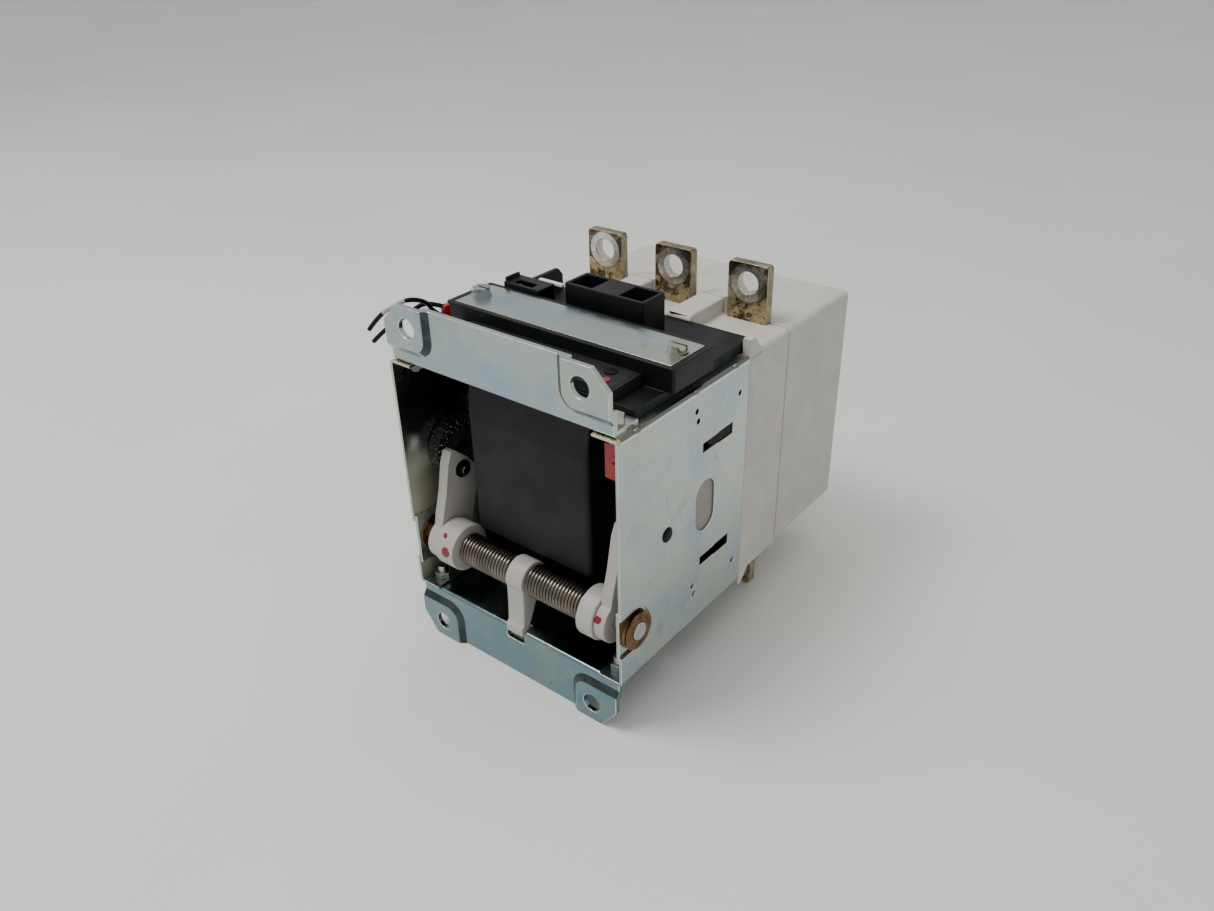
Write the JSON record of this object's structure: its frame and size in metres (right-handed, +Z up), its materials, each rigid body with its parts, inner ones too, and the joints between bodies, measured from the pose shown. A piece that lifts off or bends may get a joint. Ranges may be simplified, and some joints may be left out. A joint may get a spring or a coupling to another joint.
{
  "type": "three-pole power contactor",
  "caption": "Three-pole power switching unit: open zinc-plated drive frame with a sprung lever shaft and coil case, pale moulded pole housing behind, bar terminals above and below.",
  "frame": {"origin": "centre of the unit's box, at the level of its lowest edges, the lower ears and lower bar ends", "axes": "+Z up, X across the three poles, -Y the open drive side with the mounting ears"},
  "size_m": [0.1751, 0.227, 0.2093],
  "materials": {
    "zinc_sheet": "bright zinc plate with faint rainbow passivation",
    "zinc_fastener": "zinc plated",
    "bronze": "sintered bronze, turned",
    "ground_steel": "ground",
    "spring_steel": "drawn wire",
    "white_nylon": "moulded, satin",
    "black_moulding": "moulded, satin",
    "black_disc": "pimpled",
    "copper_winding": "enamelled wire",
    "amber_bobbin": "moulded",
    "core_iron": "laminated iron",
    "brown_moulding": "thermoset",
    "tarnished_bar": "tinned bar, tarnished",
    "pale_moulding": "moulded thermoset, pale warm grey",
    "tube_ceramic": "metallised ceramic",
    "red_plastic": "moulded",
    "dark_panel": "moulded",
    "lead_insulation": "flexible insulation"
  },
  "bodies": {
    "frame": {"auxiliary_switch": "black_moulding", "auxiliary_switch_cap": "red_plastic", "bearing_retainer_left": "zinc_sheet", "bearing_retainer_right": "zinc_sheet", "bracket_bolts": "zinc_fastener", "clamp_strip": "zinc_sheet", "coil_bobbin": "amber_bobbin", "coil_case": "black_moulding", "coil_terminal": "red_plastic", "coil_winding": "copper_winding", "disc_stud": "zinc_fastener", "flexible_link_1": "copper_winding", "flexible_link_2": "copper_winding", "flexible_link_3": "copper_winding", "front_housing": "pale_moulding", "front_ledge_panel": "dark_panel", "housing_screws": "zinc_fastener", "indicator_block": "black_moulding", "interrupter_1": "tube_ceramic", "interrupter_2": "tube_ceramic", "interrupter_3": "tube_ceramic", "lead_wire_a": "lead_insulation", "lead_wire_b": "lead_insulation", "left_side_plate": "zinc_sheet", "lower_bracket": "zinc_sheet", "lower_terminal_1": "tarnished_bar", "lower_terminal_2": "tarnished_bar", "lower_terminal_3": "tarnished_bar", "magnet_core": "core_iron", "panel_marker": "red_plastic", "panel_screw": "black_moulding", "plate_rivets": "black_moulding", "rear_housing": "pale_moulding", "right_side_plate": "zinc_sheet", "shaft_bush_left": "bronze", "shaft_bush_right": "bronze", "socket_block": "black_moulding", "spring_fork": "white_nylon", "strip_screws": "zinc_fastener", "top_cover": "black_moulding", "torsion_spring_left": "spring_steel", "torsion_spring_right": "spring_steel", "upper_bracket": "zinc_sheet", "upper_terminal_1": "tarnished_bar", "upper_terminal_2": "tarnished_bar", "upper_terminal_3": "tarnished_bar"},
    "lever_shaft": {"drive_shaft": "ground_steel", "drive_lever_left": "white_nylon", "drive_lever_right": "white_nylon", "spring_collar_left": "white_nylon", "spring_collar_right": "white_nylon", "link_pins": "ground_steel", "retaining_rings": "black_moulding"},
    "carrier": {"contact_carrier": "brown_moulding", "magnet_plunger": "core_iron", "indicator_flag": "red_plastic", "contact_stem_1": "ground_steel", "contact_stem_2": "ground_steel", "contact_stem_3": "ground_steel"},
    "disc": {"anti_bounce_disc": "black_disc"}
  },
  "joints": [
    {"name": "lever_shaft_turn", "type": "hinge", "parent": "frame", "child": "lever_shaft", "pos_m": [0, -0.099, 0.062], "axis": [-1, 0, 0], "range_deg": [0, 7], "stiffness_Nm_per_rad": 2, "springref_deg": -20.05, "deforming": ["torsion_spring_left", "torsion_spring_right"]},
    {"name": "carrier_slide", "type": "slide", "parent": "frame", "child": "carrier", "axis": [0, 1, 0], "range_m": [0, 0.0051], "deforming": ["flexible_link_1", "flexible_link_2", "flexible_link_3"]},
    {"name": "disc_spin", "type": "hinge", "parent": "frame", "child": "disc", "pos_m": [-0.06915, -0.078, 0.1115], "axis": [1, 0, 0], "continuous": true}
  ],
  "couplings": [
    {"joint": "carrier_slide", "follows": "lever_shaft_turn", "m_per_rad": 0.041}
  ]
}
